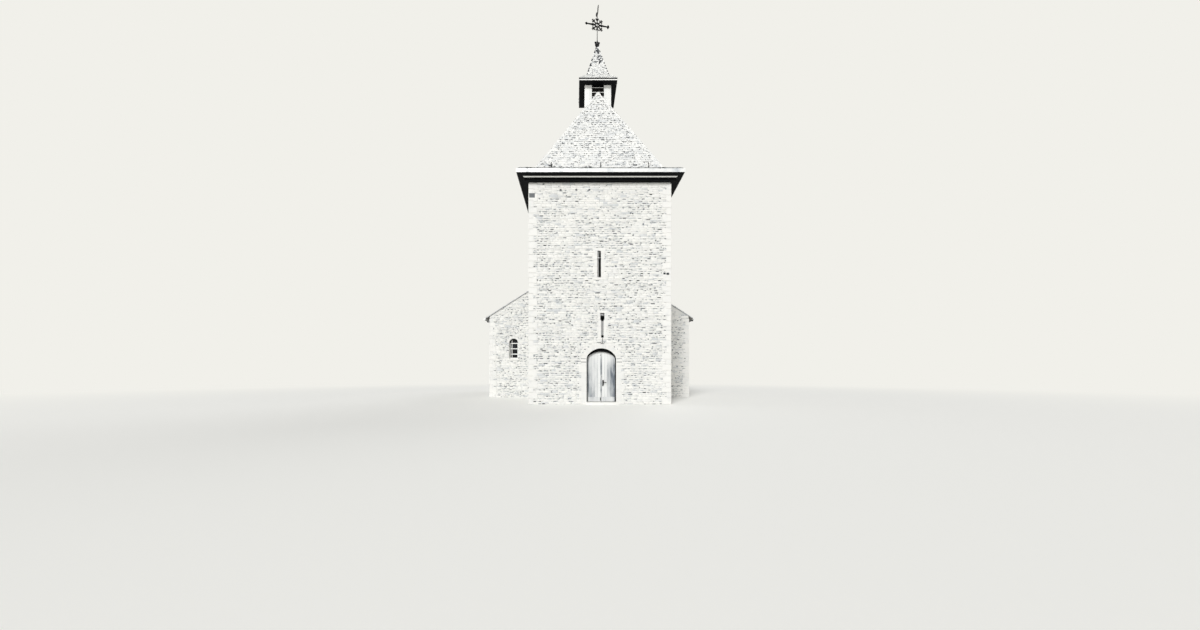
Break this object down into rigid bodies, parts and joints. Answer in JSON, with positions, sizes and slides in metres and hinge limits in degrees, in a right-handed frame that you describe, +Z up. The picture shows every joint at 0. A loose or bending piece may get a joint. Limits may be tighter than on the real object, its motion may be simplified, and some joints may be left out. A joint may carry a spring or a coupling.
{
  "type": "small chapel",
  "caption": "Small rubble-stone chapel: square west tower with a steep slate roof, louvred turret, spire, iron cross and weathercock, an arched double door and a low nave behind.",
  "frame": {"origin": "on the ground under the middle of the whole building", "axes": "+Z up, the tower's door faces -Y, +X to the right of someone facing the door"},
  "size_m": [12.94, 17.87, 21.35],
  "materials": {
    "rubble_stone": "rough",
    "dressed_stone": "rough",
    "floor_stone": "worn",
    "slate": "riven",
    "dark_timber": "painted",
    "painted_timber": "painted",
    "zinc": "matt",
    "lead": "dull",
    "door_timber": "weathered",
    "wrought_iron": "black",
    "window_glass": "leaded"
  },
  "bodies": {
    "building": {"cornice_bead": "painted_timber", "door_arch": "dressed_stone", "door_frame": "dark_timber", "door_jambs": "dressed_stone", "door_pintles": "wrought_iron", "doorstep": "dressed_stone", "nave_east_wall": "rubble_stone", "nave_floor": "floor_stone", "nave_gutters": "zinc", "nave_left_wall": "rubble_stone", "nave_ridge": "zinc", "nave_right_wall": "rubble_stone", "nave_roof_left": "slate", "nave_roof_right": "slate", "nave_west_wall": "rubble_stone", "nave_windows": "window_glass", "roof_hooks": "wrought_iron", "spire_ball": "lead", "spire_cross": "wrought_iron", "tower_back_piers": "rubble_stone", "tower_back_upper": "rubble_stone", "tower_cornice": "dark_timber", "tower_floor": "floor_stone", "tower_front_left": "rubble_stone", "tower_front_right": "rubble_stone", "tower_front_upper": "rubble_stone", "tower_gutter": "zinc", "tower_left_wall": "rubble_stone", "tower_right_wall": "rubble_stone", "tower_roof_back": "slate", "tower_roof_flare": "slate", "tower_roof_front": "slate", "tower_roof_left": "slate", "tower_roof_right": "slate", "tower_soffit": "dark_timber", "turret_eaves": "painted_timber", "turret_louvres": "painted_timber", "turret_posts": "painted_timber", "turret_spire": "slate"},
    "left_leaf": {"door_leaf_left": "door_timber", "door_straps_left": "wrought_iron"},
    "right_leaf": {"door_leaf_right": "door_timber", "door_straps_right": "wrought_iron", "door_handle": "wrought_iron"},
    "cock": {"weathercock": "wrought_iron"}
  },
  "joints": [
    {"name": "door_left", "type": "hinge", "parent": "building", "child": "left_leaf", "pos_m": [-0.38, -8.146, 0.48], "axis": [0, 0, 1], "range_deg": [0, 90]},
    {"name": "door_right", "type": "hinge", "parent": "building", "child": "right_leaf", "pos_m": [1.11, -8.146, 0.48], "axis": [0, 0, -1], "range_deg": [0, 90]},
    {"name": "cock_turn", "type": "hinge", "parent": "building", "child": "cock", "pos_m": [0.35, -5.175, 20.77], "axis": [0, 0, 1], "continuous": true}
  ]
}
